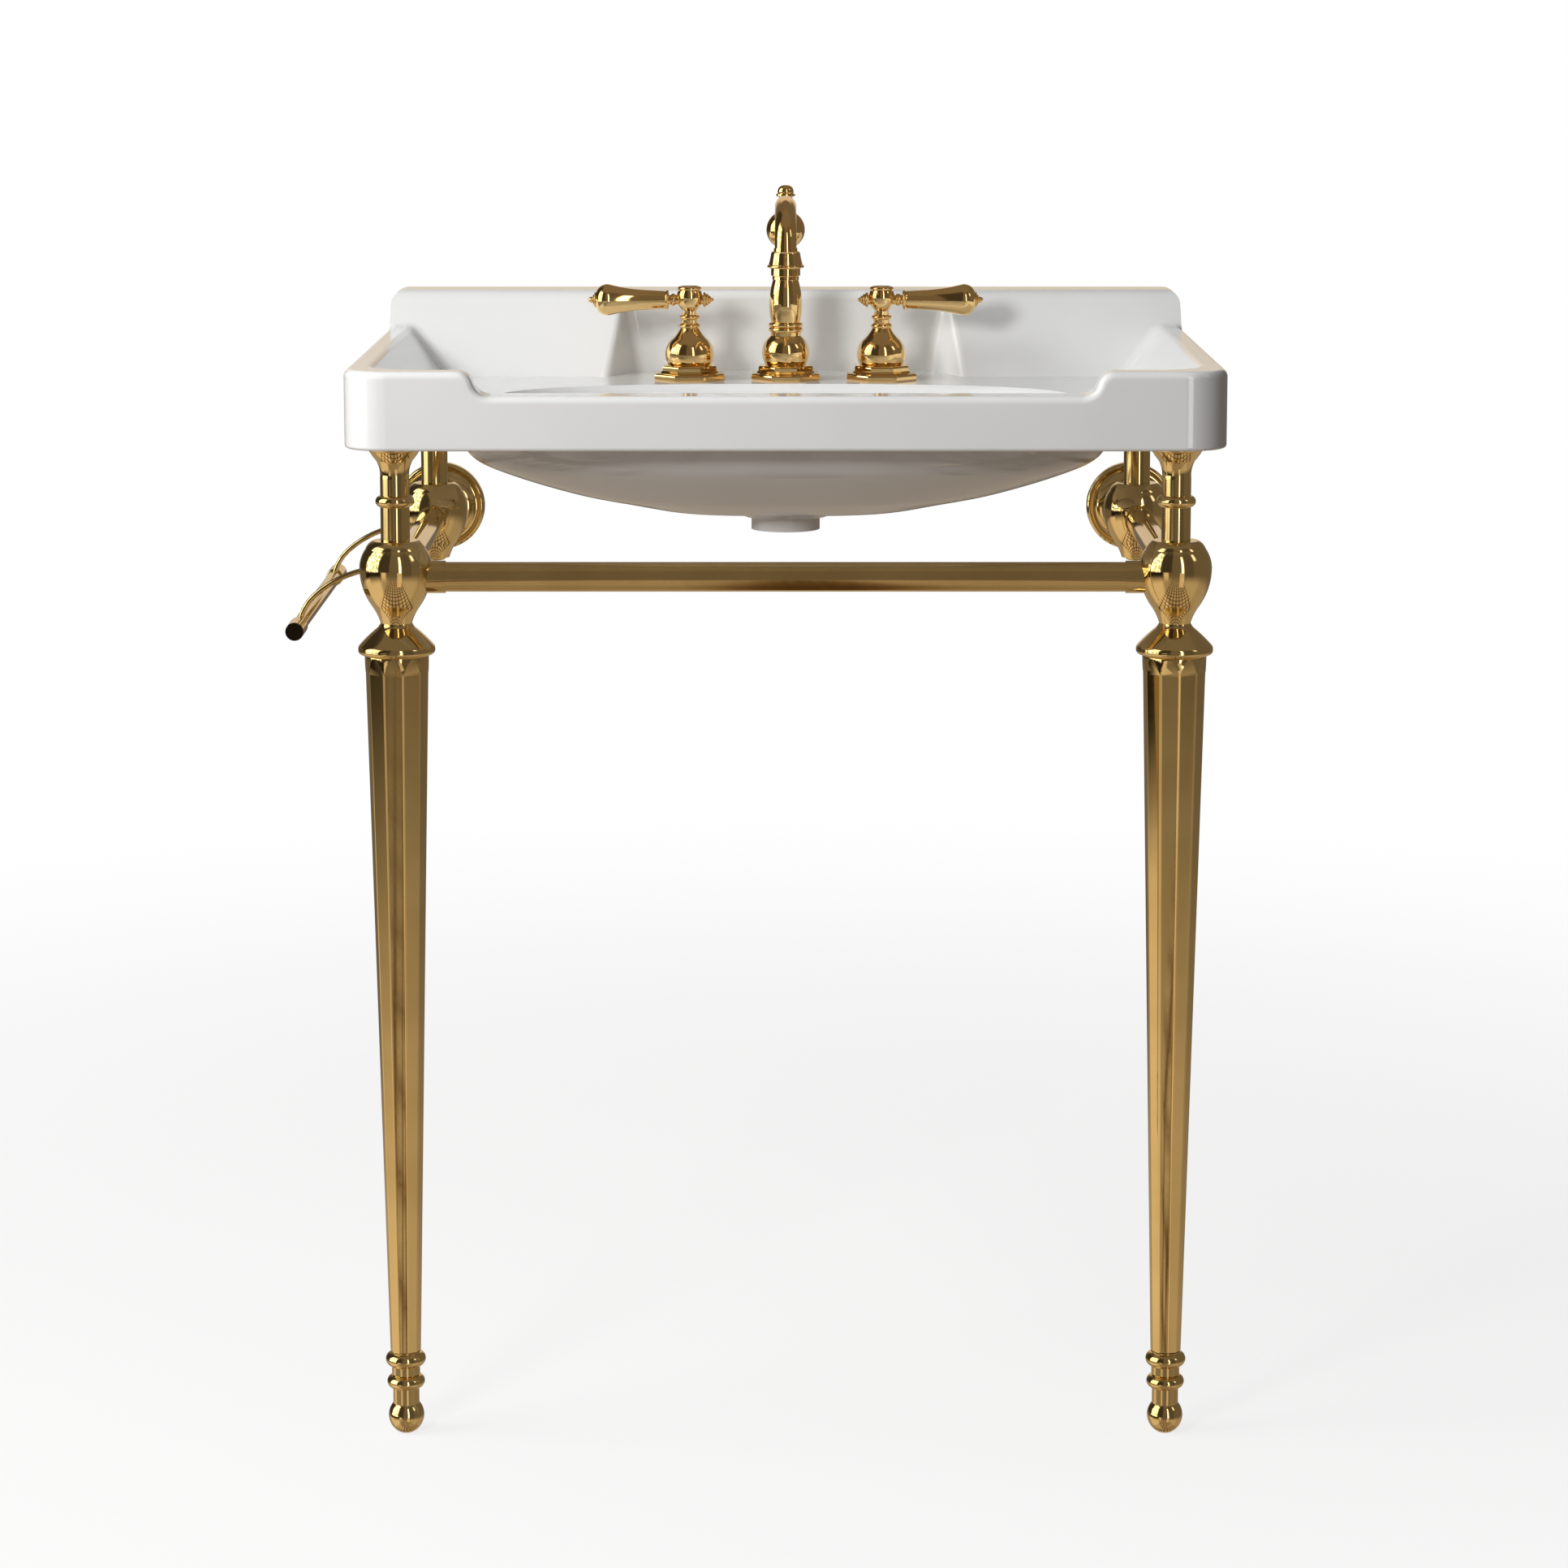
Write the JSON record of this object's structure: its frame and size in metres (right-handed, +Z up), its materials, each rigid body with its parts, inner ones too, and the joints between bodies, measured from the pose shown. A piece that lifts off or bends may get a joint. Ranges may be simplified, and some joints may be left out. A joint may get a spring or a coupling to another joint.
{
  "type": "console sink",
  "caption": "Wall-hung white ceramic console basin on turned, tapered brass front legs with rails, side towel bar, arched spout and lever taps.",
  "frame": {"origin": "centre of the basin's flat back, on the wall", "axes": "+X to the right of someone facing the basin, +Y into the wall, +Z up"},
  "size_m": [0.7737, 0.53, 1.0307],
  "materials": {
    "white_ceramic": "glossy white glaze",
    "leg_brass": "polished antique brass, olive tint",
    "tap_brass": "polished warm gold brass",
    "bar_end": "dark bronze",
    "plain_brass": "machined",
    "steel": "zinc plated",
    "rubber": "matt"
  },
  "bodies": {
    "sink": {"basin": "white_ceramic", "deck_locknuts": "plain_brass", "deck_washers": "rubber", "front_rail": "leg_brass", "left_leg_column": "leg_brass", "left_leg_cup": "leg_brass", "left_leg_foot": "leg_brass", "left_leg_shaft": "leg_brass", "left_leg_skirt": "leg_brass", "left_leg_urn": "leg_brass", "left_rear_post": "leg_brass", "left_rear_urn": "leg_brass", "left_side_rail": "leg_brass", "left_tap_bell": "tap_brass", "left_tap_flange": "tap_brass", "left_tap_shank": "plain_brass", "left_wall_flange": "leg_brass", "left_wall_plate": "steel", "left_wall_tube": "leg_brass", "rail_sleeves": "leg_brass", "rear_end_caps": "leg_brass", "right_leg_column": "leg_brass", "right_leg_cup": "leg_brass", "right_leg_foot": "leg_brass", "right_leg_shaft": "leg_brass", "right_leg_skirt": "leg_brass", "right_leg_urn": "leg_brass", "right_rear_post": "leg_brass", "right_rear_urn": "leg_brass", "right_side_rail": "leg_brass", "right_tap_bell": "tap_brass", "right_tap_flange": "tap_brass", "right_tap_shank": "plain_brass", "right_wall_flange": "leg_brass", "right_wall_plate": "steel", "right_wall_tube": "leg_brass", "spout_barrel": "tap_brass", "spout_base": "tap_brass", "spout_collar": "tap_brass", "spout_flange": "tap_brass", "spout_shank": "plain_brass", "tie_rods": "steel", "towel_bar": "leg_brass", "towel_bar_arms": "leg_brass", "towel_bar_caps": "bar_end"},
    "left_handle": {"left_handle_hub": "tap_brass", "left_handle_lever": "tap_brass", "left_handle_finial": "tap_brass", "left_index_cap": "tap_brass", "left_tap_spindle": "steel"},
    "right_handle": {"right_handle_hub": "tap_brass", "right_handle_lever": "tap_brass", "right_handle_finial": "tap_brass", "right_index_cap": "tap_brass", "right_tap_spindle": "steel"},
    "spout": {"spout_hub": "tap_brass", "spout_tube": "tap_brass", "spout_aerator": "tap_brass", "spout_finial": "tap_brass"}
  },
  "joints": [
    {"name": "left_handle_turn", "type": "hinge", "parent": "sink", "child": "left_handle", "pos_m": [-0.086, -0.127, 0.04505], "axis": [0, 0, 1], "range_deg": [0, 90]},
    {"name": "right_handle_turn", "type": "hinge", "parent": "sink", "child": "right_handle", "pos_m": [0.086, -0.127, 0.04505], "axis": [0, 0, 1], "range_deg": [-90, 0]},
    {"name": "spout_swivel", "type": "hinge", "parent": "sink", "child": "spout", "pos_m": [0, -0.127, 0.09675], "axis": [0, 0, 1], "range_deg": [-45, 45]}
  ]
}
